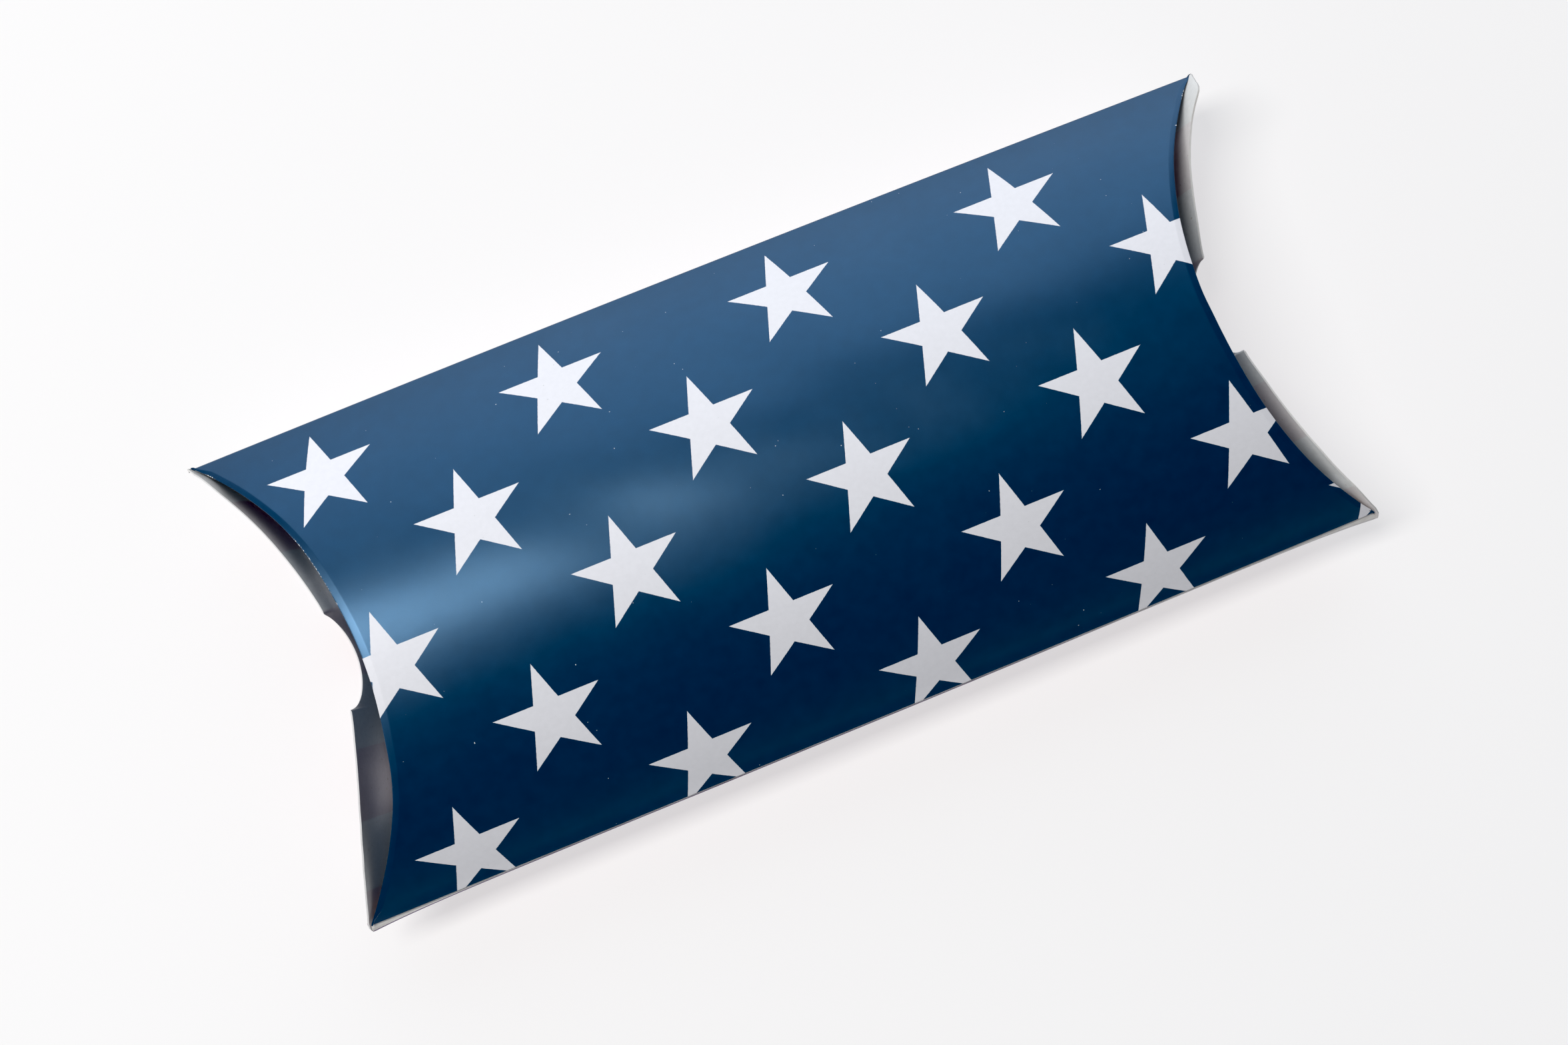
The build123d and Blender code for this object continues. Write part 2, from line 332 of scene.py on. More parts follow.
# The finishes of the card, mixed from nodes: printed faces, bare faces and cut edges
class Finish:
    """A material and short ways to add its nodes."""

    def __init__(self, name):
        self.material = bpy.data.materials.new(name)
        self.material.use_nodes = True
        self.tree = self.material.node_tree
        self.shader = self.tree.nodes["Principled BSDF"]
        self.blank = self.node("ShaderNodeAttribute", attribute_name="blank").outputs["Vector"]
        self.wear_and_highlight = self.node("ShaderNodeAttribute", attribute_name="wear_and_highlight").outputs["Fac"]
        parts = self.node("ShaderNodeSeparateXYZ", {"Vector": self.blank})
        self.along, self.across = parts.outputs["X"], parts.outputs["Y"]

    def node(self, kind, inputs=None, **settings):
        made = self.tree.nodes.new(kind)
        for key, value in settings.items():
            setattr(made, key, value)
        for key, value in (inputs or {}).items():
            self.feed(made.inputs[key], value)
        return made

    def feed(self, socket, value):
        if isinstance(value, bpy.types.NodeSocket):
            self.tree.links.new(value, socket)
        else:
            socket.default_value = value

    def math(self, operation, *values):
        made = self.node("ShaderNodeMath", operation=operation)
        for socket, value in zip(made.inputs, values):
            self.feed(socket, value)
        return made.outputs[0]

    def mix(self, share, first, second):
        """A mix of two colours, whose sockets come after the node's number and vector ones."""
        made = self.node("ShaderNodeMix", data_type="RGBA")
        for socket, value in zip((made.inputs[0], made.inputs[6], made.inputs[7]), (share, first, second)):
            self.feed(socket, value)
        return made.outputs[2]

    def between(self, value, low, high, out_low=0.0, out_high=1.0):
        inputs = {"Value": value, "From Min": low, "From Max": high, "To Min": out_low, "To Max": out_high}
        return self.node("ShaderNodeMapRange", inputs).outputs["Result"]

    def noise(self, grain, detail=2.0, stretch=(1.0, 1.0, 1.0), rough=0.5):
        """Cloudy noise on the card, whose blobs are about this many millimetres across."""
        place = self.node("ShaderNodeTexCoord").outputs["Object"]
        scale = tuple(1000.0 / grain * s for s in stretch)
        place = self.node("ShaderNodeVectorMath", {0: place, 1: scale}, operation="MULTIPLY").outputs[0]
        inputs = {"Vector": place, "Scale": 1.0, "Detail": detail, "Roughness": rough}
        return self.node("ShaderNodeTexNoise", inputs).outputs["Fac"]

    def relief(self, height, depth):
        """A bump whose full height is this many millimetres."""
        inputs = {"Height": height, "Distance": depth * MILLIMETRE, "Strength": 1.0}
        bump = self.node("ShaderNodeBump", inputs)
        self.feed(self.shader.inputs["Normal"], bump.outputs["Normal"])


# The stars on the flat blank, in millimetres: rows of them along the box, every second row set between the others
STAR_RADIUS = 12.0
STAR_TIP_ANGLE = math.pi / 10
STAR_SHARE_ANGLE = math.pi / 5
STAR_PITCH = 51.39
STAR_ROW_PITCH = 21.95
FIRST_STAR = (-88.78, 39.46)
LAST_ODD_ROW = 40.0
PRINT_EDGE = 0.07
PRINT_GRAIN = 0.5
PRINT_WOBBLE = 0.05
PRINT_LIMIT = 113.45


def print_wobble(finish):
    """How far the ink's outline wanders on the card's fibres."""
    return finish.between(finish.noise(PRINT_GRAIN), 0, 1, -PRINT_WOBBLE, PRINT_WOBBLE)


def star_mask(finish):
    """1 inside the white stars and 0 outside, from the place on the flat blank."""
    wobble = print_wobble(finish)
    masks = []
    for row in (0, 1):
        x = finish.math("SUBTRACT", finish.along, FIRST_STAR[0] + row * STAR_PITCH / 2)
        s = finish.math("SUBTRACT", finish.across, FIRST_STAR[1] - row * STAR_ROW_PITCH)
        x = finish.math("WRAP", x, STAR_PITCH / 2, -STAR_PITCH / 2)
        s = finish.math("WRAP", s, STAR_ROW_PITCH, -STAR_ROW_PITCH)
        squares = [finish.math("MULTIPLY", part, part) for part in (x, s)]
        distance = finish.math("SQRT", finish.math("ADD", *squares))
        angle = finish.math("WRAP", finish.math("ARCTAN2", x, s), STAR_SHARE_ANGLE, -STAR_SHARE_ANGLE)
        leaning = finish.math("SINE", finish.math("ADD", finish.math("ABSOLUTE", angle), STAR_TIP_ANGLE))
        reached = finish.math("MULTIPLY", distance, leaning)
        inside = finish.math("SUBTRACT", STAR_RADIUS * math.sin(STAR_TIP_ANGLE), reached)
        inside = finish.math("ADD", inside, wobble)
        mask = finish.between(inside, -PRINT_EDGE / 2, PRINT_EDGE / 2)
        if row == 1:
            mask = finish.math("MULTIPLY", mask, finish.math("LESS_THAN", finish.across, LAST_ODD_ROW))
        masks.append(mask)
    stars = finish.math("MAXIMUM", *masks)
    return finish.math("MULTIPLY", stars, finish.math("LESS_THAN", finish.along, PRINT_LIMIT))


# The stripes on the flat blank, which run along the box
STRIPE_WIDTH = 14.82
STRIPE_START = -1.9
STRIPE_LIMIT = -55.6


def stripe_mask(finish):
    """1 on the red stripes and 0 on the white ones, from the place on the flat blank."""
    wobble = print_wobble(finish)
    s = finish.math("WRAP", finish.math("SUBTRACT", finish.across, STRIPE_START), 2 * STRIPE_WIDTH, 0.0)
    from_middle = finish.math("ABSOLUTE", finish.math("SUBTRACT", s, STRIPE_WIDTH / 2))
    s = finish.math("SUBTRACT", STRIPE_WIDTH / 2, from_middle)
    mask = finish.between(finish.math("ADD", s, wobble), -PRINT_EDGE / 2, PRINT_EDGE / 2)
    return finish.math("MULTIPLY", mask, finish.math("GREATER_THAN", finish.across, STRIPE_LIMIT))


# The inks and the bare card, and the tints that their shine takes
BLUE = (0.0006, 0.0195, 0.058, 1)
BLUE_THIN = (0.0016, 0.0290, 0.082, 1)
BLUE_SHINE = (0.32, 0.61, 0.98, 1)
WHITE_SHINE = (0.13, 0.135, 0.15, 1)
PRINT_WHITE = (0.725, 0.742, 0.805, 1)
RED = (0.42, 0.012, 0.028, 1)
RED_THIN = (0.50, 0.028, 0.045, 1)
RED_SHINE = (0.5, 0.42, 0.42, 1)
FIBRE = (0.80, 0.79, 0.76, 1)
DUST = (0.55, 0.58, 0.62, 1)
PAPER_SHADES = ((0.655, 0.675, 0.685, 1), (0.735, 0.755, 0.765, 1))
PAPER_CLOUD = (0.66, 0.665, 0.67, 1)
PAPER_FLECK = (0.42, 0.38, 0.32, 1)
EDGE_SHADES = ((0.61, 0.61, 0.605, 1), (0.69, 0.69, 0.685, 1))
WHITE_DIP = 0.965
VARNISH_IOR = 1.55


def printed_finish(name, mask, ink, thin_ink, ink_shine, marked, marked_over):
    """Varnished print: the mask chooses between the ink and what it is marked with."""
    finish = Finish(name)
    clouds = finish.noise(3.0, 4.0)
    grain = finish.between(finish.noise(0.22, 1.0), 0.2, 0.8, 0.6, 1.0)
    mottle = finish.math("MULTIPLY", clouds, grain)
    ground = finish.mix(finish.between(mottle, 0.2, 0.75), ink, thin_ink)
    dimmed = tuple(WHITE_DIP * c for c in marked[:3]) + (1,)
    white = finish.mix(finish.between(finish.noise(1.1, 3.0), 0.3, 0.7), marked, dimmed)
    inked = mask(finish)
    colour = finish.mix(inked, ground, white) if marked_over else finish.mix(inked, white, ground)
    shine = (ink_shine, WHITE_SHINE) if marked_over else (WHITE_SHINE, ink_shine)
    finish.feed(finish.shader.inputs["Specular Tint"], finish.mix(inked, *shine))
    specks = finish.between(finish.noise(0.55, 0.0), 0.90, 0.93)
    colour = finish.mix(specks, colour, DUST)
    # Where the wear is high the ink is rubbed through to bare fibre; on the left front crease this lighter fibre
    # is partly painted highlight
    rub = finish.math("MULTIPLY", finish.wear_and_highlight, finish.between(finish.noise(0.35, 3.0, rough=0.7), 0.35, 0.62))
    bare = finish.between(rub, 0.42, 0.60)
    colour = finish.mix(bare, colour, FIBRE)
    finish.feed(finish.shader.inputs["Base Color"], colour)
    gloss = finish.between(finish.noise(14.0, 3.0), 0.3, 0.7, 0.33, 0.37)
    for roughened, size in ((finish.wear_and_highlight, 0.12), (bare, 0.4)):
        gloss = finish.math("ADD", gloss, finish.math("MULTIPLY", roughened, size))
    finish.feed(finish.shader.inputs["Roughness"], gloss)
    finish.shader.inputs["IOR"].default_value = VARNISH_IOR
    finish.shader.inputs["Specular IOR Level"].default_value = 1.0
    height = finish.math("ADD", finish.noise(0.35, 2.0), finish.math("MULTIPLY", finish.noise(2.4, 2.0), 2.0))
    height = finish.math("ADD", height, finish.math("MULTIPLY", bare, -2.0))
    finish.relief(height, 0.004)
    return finish.material


def bare_finish(name, mask, tint, strength, glow, glow_behind):
    """The unprinted face, matt and fibrous, with the print behind showing through very faintly.

    The card is thin enough to let a little light through; glow and glow_behind paint that light in as a fixed
    emission, a painted glow.
    """
    finish = Finish(name)
    fibres = finish.noise(0.9, 4.0, (0.35, 1.0, 1.0), 0.65)
    paper = finish.mix(finish.between(fibres, 0.3, 0.7), *PAPER_SHADES)
    cloud = finish.between(finish.noise(18.0, 2.0), 0.3, 0.7, 0.0, 0.25)
    paper = finish.mix(cloud, paper, PAPER_CLOUD)
    paper = finish.mix(finish.math("MULTIPLY", mask(finish), strength), paper, tint)
    flecks = finish.between(finish.noise(0.7, 0.0), 0.80, 0.84, 0.0, 0.5)
    paper = finish.mix(flecks, paper, PAPER_FLECK)
    finish.feed(finish.shader.inputs["Base Color"], paper)
    # Painted glow: a fixed emission on the bare face that stands for light let through the card
    finish.feed(finish.shader.inputs["Emission Color"], finish.mix(mask(finish), glow, glow_behind))
    finish.shader.inputs["Emission Strength"].default_value = 1.0
    finish.feed(finish.shader.inputs["Roughness"], finish.between(fibres, 0.2, 0.8, 0.78, 0.95))
    finish.relief(fibres, 0.02)
    return finish.material


def edge_finish():
    """The cut edge: pale layered fibres, a little darker where the knife crushed them."""
    finish = Finish("cut_card_edge")
    layers = finish.noise(0.25, 3.0, (0.15, 0.15, 1.6), 0.6)
    colour = finish.mix(finish.between(layers, 0.3, 0.7), *EDGE_SHADES)
    finish.feed(finish.shader.inputs["Base Color"], colour)
    finish.feed(finish.shader.inputs["Roughness"], finish.between(layers, 0.2, 0.8, 0.8, 0.95))
    finish.relief(layers, 0.01)
    return finish.material


blue_print = printed_finish("blue_star_print", star_mask, BLUE, BLUE_THIN, BLUE_SHINE, PRINT_WHITE, True)
red_print = printed_finish("red_stripe_print", stripe_mask, RED, RED_THIN, RED_SHINE, PRINT_WHITE, False)

# What the print behind makes of the bare face: the tint it gives, and a painted glow, a fixed emission that stands
# for the light coming through it
BEHIND_STARS = (0.84, 0.83, 0.80, 1)
BEHIND_STRIPES = (0.62, 0.50, 0.50, 1)
THROUGH_WHITE = (0.0165, 0.0165, 0.0155, 1)
THROUGH_RED = (0.0110, 0.0042, 0.0050, 1)
THROUGH_BLUE = (0.0010, 0.0020, 0.0040, 1)
bare_behind_blue = bare_finish(
    "bare_card_behind_blue", star_mask, BEHIND_STARS, 0.5, THROUGH_BLUE, THROUGH_WHITE
)
bare_behind_red = bare_finish(
    "bare_card_behind_stripes", stripe_mask, BEHIND_STRIPES, 0.22, THROUGH_WHITE, THROUGH_RED
)
cut_edge = edge_finish()


def dress(piece, printed, bare):
    """Gives a piece of card its print, its bare face and its cut edge."""
    for material in (printed, bare, cut_edge):
        piece.data.materials.append(material)


dress(top_panel, blue_print, bare_behind_blue)
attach(top_panel, "carton")
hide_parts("top_panel")


# Bottom panel
# The back of the box, which lies on the table. It is the same card, curved the other way and pressed flat along
# the line it rests on, and printed with red and white stripes along the box.
SEAM_LAP = 0.5
SEAM_FOLD_RADIUS = 0.6
seam_reach, seam_rise, seam_top_angle, seam_bottom_angle = round_fold(SEAM_LAP, SEAM_FOLD_RADIUS)

# How far the near edge is pushed out along its middle, and how much further at its two ends
NEAR_PUSH = 1.2
NEAR_FLARE = 1.15
NEAR_FLARE_LENGTH = 11.0
PUSH_START = 30.0
PUSH_POWER = 3
SEAM_SLOPE = HALF_WIDTH / AXIS_DROP
SLIDE_DEPTH = 12.0

# How far the tips of the box's corners are drawn out along it, the far ones and the near ones, and where
CORNER_SPREAD = (0.9, 0.4)
SPREAD_START = 43
SPREAD_WIDTH = 6
SPREAD_LENGTH = 9


def push_seam(points, normals):
    """Slides the back's near edge out and down under the top panel's edge, and draws the box's corners out."""
    pushed, turned = bow_out(points, normals)
    share = np.clip((-points[..., 1] - PUSH_START) / (HALF_WIDTH - PUSH_START), 0, OUTERMOST)
    from_end = np.clip(HALF_LENGTH - np.abs(points[..., 0]), 0, None)
    size = NEAR_PUSH + NEAR_FLARE * np.exp(-from_end / NEAR_FLARE_LENGTH)
    across = np.clip((np.abs(points[..., 1]) - SPREAD_START) / SPREAD_WIDTH, 0, 1) ** 2
    corner = across * np.clip(1 - from_end / SPREAD_LENGTH, 0, 1)
    pushed[..., 0] += np.sign(points[..., 0]) * np.where(points[..., 1] > 0, *CORNER_SPREAD) * corner
    pushed[..., 1] -= size * share**PUSH_POWER
    pushed[..., 2] -= size * SEAM_SLOPE * share**PUSH_POWER
    steeper = size * SEAM_SLOPE * PUSH_POWER * share ** (PUSH_POWER - 1) / (HALF_WIDTH - PUSH_START)
    turned = turned.copy()
    turned[..., 1] -= steeper * normals[..., 2]
    return pushed, turned / np.linalg.norm(turned, axis=-1, keepdims=True)


def push_near(points, normals):
    """Slides the back's near edge out, and its creases and flaps out along the box by as much as they need."""
    pushed, turned = push_seam(points, normals)
    x, y = np.abs(points[..., 0]), np.abs(points[..., 1])
    moved_y = np.clip(y + np.abs(pushed[..., 1] - points[..., 1]) * (points[..., 1] < 0), 0, HALF_WIDTH)
    y = np.minimum(y, HALF_WIDTH)
    height, moved_height = (np.sqrt(PANEL_RADIUS**2 - across**2) - AXIS_DROP for across in (y, moved_y))
    from_crease = HALF_LENGTH - CREASE_COT * height - x
    slide = CREASE_COT * (height - moved_height) * np.clip(1 - from_crease / SLIDE_DEPTH, 0, 1)
    pushed[..., 0] += np.sign(points[..., 0]) * slide
    return pushed, turned


BOTTOM_ROWS = 120
BOTTOM_COLUMNS = 120
bottom_profile = arc_profile(BOTTOM, -seam_bottom_angle, far_bottom_angle, BOTTOM_ROWS)
points, run, flat = cylinder_grid(bottom_profile, BOTTOM_TRIM, BOTTOM_COLUMNS)
bottom_panel = card_piece("bottom_panel_sheet", points, run, flat, push_near)
dress(bottom_panel, red_print, bare_behind_red)
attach(bottom_panel, "carton")
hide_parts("bottom_panel")


# Side fold
# The far long edge, where the scored card turns over from the front to the back. The blue ink runs just past the
# fold, and its varnish is rubbed along the ridge.
FOLD_STEPS = 14
RIDGE_PLACE = 0.62
RIDGE_STEPS = 2.0
TIP_RUB = 0.5
TIP_RUB_LENGTH = 1.4


def far_fold(first_angle, last_angle, count):
    """Points round the far long edge, between two angles of its turn."""
    flat_start = PANEL_RADIUS * far_top_angle
    return fold_profile(1, far_reach, far_rise, FAR_FOLD_RADIUS, first_angle, last_angle, flat_start, count)


def patchy_rub(x):
    """How hard the ridge is rubbed, which comes and goes along the box."""
    return 0.62 + 0.30 * np.sin(x / 7.3) * np.sin(x / 3.1 + 1.0)


side_profile = far_fold(far_top_angle, math.pi - far_bottom_angle, FOLD_STEPS)
points, run, flat = cylinder_grid(side_profile, TOP_TRIM, COLUMNS)
ridge = np.exp(-(((np.arange(FOLD_STEPS) - RIDGE_PLACE * FOLD_STEPS) / RIDGE_STEPS) ** 2))
rub = ridge[:, None] * patchy_rub(points[..., 0])
tip_rub = TIP_RUB * np.exp(-(HALF_LENGTH - np.abs(points[..., 0])) / TIP_RUB_LENGTH)
side_fold = card_piece("side_fold_strip", points, run, flat, stray_and_bow, np.clip(rub + tip_rub, 0, 1))
dress(side_fold, blue_print, bare_behind_blue)
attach(side_fold, "carton")
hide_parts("side_fold")


# Seam fold
# The near long edge. The back's card turns up here and runs in under the front's cut edge, so a narrow strip of
# its unprinted white face shows all along the box and widens at the two corners.
SEAM_STEPS = 14
TAB_SIDE_STEPS = 6
TAB_ROOT_REACH = 49.0
CORNER_LENGTH = 0.6
CORNER_STEPS = 8
CORNER_TURN = 0.49 * math.pi
CORNER_HEART = (-48.6, FOLD_HEIGHT + 0.3)


def tab_angle(reach):
    """The angle on the glue tab's curve at this reach across the box."""
    return math.asin(reach / (PANEL_RADIUS - SEAM_LAP))


def near_fold(first_angle, last_angle):
    """Points round the near long edge, between two angles of its turn."""
    flat_start = -PANEL_RADIUS * first_angle
    return fold_profile(
        -1, seam_reach, seam_rise, SEAM_FOLD_RADIUS, first_angle, last_angle, flat_start, SEAM_STEPS
    )


def with_corners(points, run, flat):
    """Carries the strip on past its ends into two blunt rounded corners, and gives how its thickness changes."""
    turn = np.linspace(0, CORNER_TURN, CORNER_STEPS + 1)[1:]
    heart = np.array([0.0, *CORNER_HEART])
    for end in (LEFT, RIGHT):
        edge, edge_flat = (grid[:, -1:] if end == RIGHT else grid[:, :1] for grid in (points, flat))
        shrink = np.cos(turn)[None, :, None] * np.array([0.0, 1.0, 1.0]) + np.array([1.0, 0.0, 0.0])
        more = heart + (edge - heart) * shrink
        more[..., 0] = edge[..., 0] + end * CORNER_LENGTH * np.sin(turn)
        more_run = -end * (edge - heart) * np.sin(turn)[None, :, None]
        more_run[..., 0] = CORNER_LENGTH * np.cos(turn)
        more_run /= np.linalg.norm(more_run, axis=-1, keepdims=True)
        more_flat = np.repeat(edge_flat, CORNER_STEPS, axis=1)
        pairs = [(points, more), (run, more_run), (flat, more_flat)]
        if end == LEFT:
            pairs = [(new[:, ::-1], old) for old, new in pairs]
        points, run, flat = (np.concatenate(pair, axis=1) for pair in pairs)
    thinning = -CARD * (1 - np.cos(np.pad(turn, (points.shape[1] - CORNER_STEPS, 0))))
    return points, run, flat, np.broadcast_to(thinning + thinning[::-1], points.shape[:2])


tab_side = arc_profile(TOP, -tab_angle(TAB_ROOT_REACH), -seam_top_angle, TAB_SIDE_STEPS, SEAM_LAP)
seam_turn = near_fold(seam_top_angle, math.pi - seam_bottom_angle)
seam_profile = np.concatenate([tab_side, seam_turn[1:]])
points, run, flat, thinning = with_corners(*cylinder_grid(seam_profile, BOTTOM_TRIM, COLUMNS))
seam_fold = card_piece("seam_fold_strip", points, run, flat, push_seam, inner_bead=thinning)


# The back's print reaches just round the fold, where its outermost line shows from above. The line is the red
# print painted darkened to plum, partly painted shade, and it fades out along the box towards the right end
BACK_PRINT_START = -55.56
BACK_PRINT_EDGE_IN_SHADE = (0.16, 0.10, 0.24, 1)
BACK_PRINT_FADE = (20.0, 70.0)
SEAM_CLEAN, SEAM_GRIME = (0.80, 0.80, 0.80, 1), (0.60, 0.59, 0.58, 1)
SEAM_SPECK = (0.05, 0.05, 0.08, 1)


def seam_finish():
    """The unprinted coated face along the seam, a little grey where it has been handled."""
    finish = Finish("white_seam_card")
    grime = finish.between(finish.noise(2.2, 4.0, (0.4, 1, 1)), 0.42, 0.72)
    colour = finish.mix(grime, SEAM_CLEAN, SEAM_GRIME)
    specks = finish.between(finish.noise(0.6, 0.0), 0.86, 0.89)
    colour = finish.mix(specks, colour, SEAM_SPECK)
    back_print = finish.math("LESS_THAN", finish.across, BACK_PRINT_START)
    fade = finish.between(finish.along, *BACK_PRINT_FADE, 1.0, 0.2)
    # The print's outermost line, in its painted shade colour
    colour = finish.mix(finish.math("MULTIPLY", back_print, fade), colour, BACK_PRINT_EDGE_IN_SHADE)
    finish.feed(finish.shader.inputs["Base Color"], colour)
    finish.feed(finish.shader.inputs["Roughness"], finish.between(grime, 0, 1, 0.45, 0.65))
    finish.relief(finish.noise(0.5, 3.0), 0.01)
    return finish.material


white_seam = seam_finish()
dress(seam_fold, white_seam, bare_behind_red)
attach(seam_fold, "carton")
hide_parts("seam_fold")


# Glue tab
# The narrow strip that the seam fold leads into, stuck down under the top panel's near edge. Its ends are cut on
# a slant so that they stay off the creases.
TAB_WIDTH = 14.0
TAB_SETBACK = 6.0
TAB_ROWS = 24
TAB_COLUMNS = 60
tab_root, tab_tip = tab_angle(TAB_ROOT_REACH), tab_angle(TAB_ROOT_REACH - TAB_WIDTH)
tab_profile = arc_profile(TOP, -tab_root, -tab_tip, TAB_ROWS, SEAM_LAP)
tab_y = tab_profile[:, 0]
tab_reach = HALF_LENGTH - TAB_SETBACK - (tab_y - tab_y[0])
tab_x = tab_reach[:, None] * np.linspace(-1, 1, TAB_COLUMNS)[None, :]
points, run, flat = straight_lines(tab_x, tab_profile)
glue_tab = card_piece("glue_tab_strip", points, run, flat, push_seam)
dress(glue_tab, white_seam, bare_behind_red)
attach(glue_tab, "carton")
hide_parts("glue_tab")


# Glue line
# The band of dried white glue that holds the tab under the top panel. It is rolled on along the whole tab, so it
# is thin, slightly yellow, and finely rippled by the roller.
GLUE_SHADES = ((0.62, 0.52, 0.34, 1), (0.74, 0.66, 0.48, 1))
GLUE_CLEARNESS = 0.2


def glue_finish():
    """Dried white glue: yellowish, glossy in patches, with fine ripples from the roller."""
    finish = Finish("dried_glue")
    ripple = finish.noise(1.6, 3.0, (0.25, 1, 1))
    colour = finish.mix(finish.between(ripple, 0.3, 0.7), *GLUE_SHADES)
    finish.feed(finish.shader.inputs["Base Color"], colour)
    finish.feed(finish.shader.inputs["Roughness"], finish.between(ripple, 0.2, 0.8, 0.22, 0.5))
    finish.shader.inputs["Transmission Weight"].default_value = GLUE_CLEARNESS
    finish.relief(ripple, 0.02)
    return finish.material


glue_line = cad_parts["glue_line"]
glue_line.data.materials.clear()
glue_line.data.materials.append(glue_finish())


# Curved creases
# At each end of each panel the card is scored along a curve and folded hard over. The card leaves the panel with
# a soft kink first, then turns sharply, and the ink is rubbed along the ridge.
CREASE_END_STEPS = 10
CLOSING_LEAN = {LEFT: (4.5, 15.5), RIGHT: (11.5, 11.5)}
LEAN_CHANGE_PLACE = -2.0
LEAN_CHANGE_WIDTH = 9.0
INNER_BEAD = 0.16
RUB_PLACE, RUB_WIDTH, RUB_SIZE = 0.86, 0.10, 0.40


def closing_angle(pair, y):
    """An angle of the closing flap in radians, which changes from a far value to a near one at the notch."""
    far, near = pair
    share = 0.5 * (1 - np.tanh((y - LEAN_CHANGE_PLACE) / LEAN_CHANGE_WIDTH))
    return np.radians(far + (near - far) * share)


def crease_profile(face):
    """The points along a curved crease, from the near corner to the far one."""
    if face == TOP:
        return np.concatenate([top_profile, far_fold(far_top_angle, math.pi / 2, CREASE_END_STEPS)[1:]])
    lower_turn = far_fold(math.pi / 2, math.pi - far_bottom_angle, CREASE_END_STEPS)
    return np.concatenate([bottom_profile, lower_turn[::-1][1:]])


def crease_grid(side, face):
    """The crease's strip of card as a grid, with the point and direction where its flap starts."""
    y, height, across = crease_profile(face).T
    size = fold_size(y)
    reach = crease_reach(height)
    if face == TOP:
        turn, trim, lean = TOP_TURN, TOP_TRIM, np.full_like(y, math.radians(TUCK_LEAN))
    else:
        turn, trim, lean = BOTTOM_TURN, BOTTOM_TRIM, -closing_angle(CLOSING_LEAN[side], y)
    points, run, flat = [], [], []
    for row in range(len(y)):
        out, inward, slope, distance = crease_turn(turn, math.pi / 2 + lean[row])
        x = reach[row] + (out - trim) * size[row]
        z = FOLD_HEIGHT + height[row] - face * inward * size[row]
        blank_x = reach[row] + (distance - trim) * size[row]
        points.append(np.stack([side * x, np.full_like(x, y[row]), z], 1))
        run.append(np.stack([side * np.cos(slope), np.zeros_like(x), -face * np.sin(slope)], 1))
        flat.append(np.stack([side * blank_x, np.full_like(x, across[row])], 1))
    return np.array(points), np.array(run), np.array(flat)


# Where the creases are scuffed through, and where a lighter band is painted on as highlight: the place across the
# box, how wide, and how hard
SCUFFS_AND_HIGHLIGHTS = {
    # On the left front crease the three wide patches are partly scuffing and partly painted highlight, a lighter
    # band where the light catches that crease; the narrow patches near the far corners are chips
    (LEFT, TOP): [(26.0, 3.0, 0.30), (20.0, 5.0, 0.26), (12.0, 4.0, 0.22), (47.5, 0.7, 1.0)],
    (RIGHT, TOP): [(47.0, 0.8, 1.0)],
    (LEFT, BOTTOM): [(0.0, 9.0, 0.4)],
    (RIGHT, BOTTOM): [(0.0, 9.0, 0.4)],
}
for side, side_name in ((LEFT, "left"), (RIGHT, "right")):
    for face, face_name in ((TOP, "top"), (BOTTOM, "bottom")):
        points, run, flat = crease_grid(side, face)
        step = np.linspace(0, 1, points.shape[1])
        ridge = np.exp(-(((step - RUB_PLACE) / RUB_WIDTH) ** 2))[None, :]
        y = points[..., 1]
        scuffed_and_highlit = sum(size * np.exp(-(((y - place) / spread) ** 2)) for place, spread, size in SCUFFS_AND_HIGHLIGHTS[side, face])
        bead = INNER_BEAD * ridge * fold_size(y)
        worn_and_highlit = np.clip(ridge * (RUB_SIZE + scuffed_and_highlit), 0, 1)
        name = side_name + "_" + face_name + "_crease"
        moved = stray_and_bow if face == TOP else push_near
        crease = card_piece(name + "_fold", points, run, flat, moved, worn_and_highlit, bead, inked_edge=face == TOP)
        dress(crease, *((blue_print, bare_behind_blue) if face == TOP else (red_print, bare_behind_red)))
        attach(crease, "carton")
        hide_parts(name)


# Closing flaps
# The two outer flaps stand up from the back's creases and lean out a little, so their bare white inside shows.
# Each has a slightly uneven free edge with a round thumb notch. It is one piece of card, but it is made here as a
# near and a far half.
CLOSING_CURL = {LEFT: (50.0, 10.0), RIGHT: (10.0, 10.0)}
NOTCH_RADIUS = 10.9
NOTCH_PLACE = {LEFT: 2.0, RIGHT: 1.7}
NOTCH_FLOOR = -3.6
NOTCH_STEPS = 45
SIDE_STEPS = 46
FLAP_END = 50.5
NOTCH_CORNER = 0.02

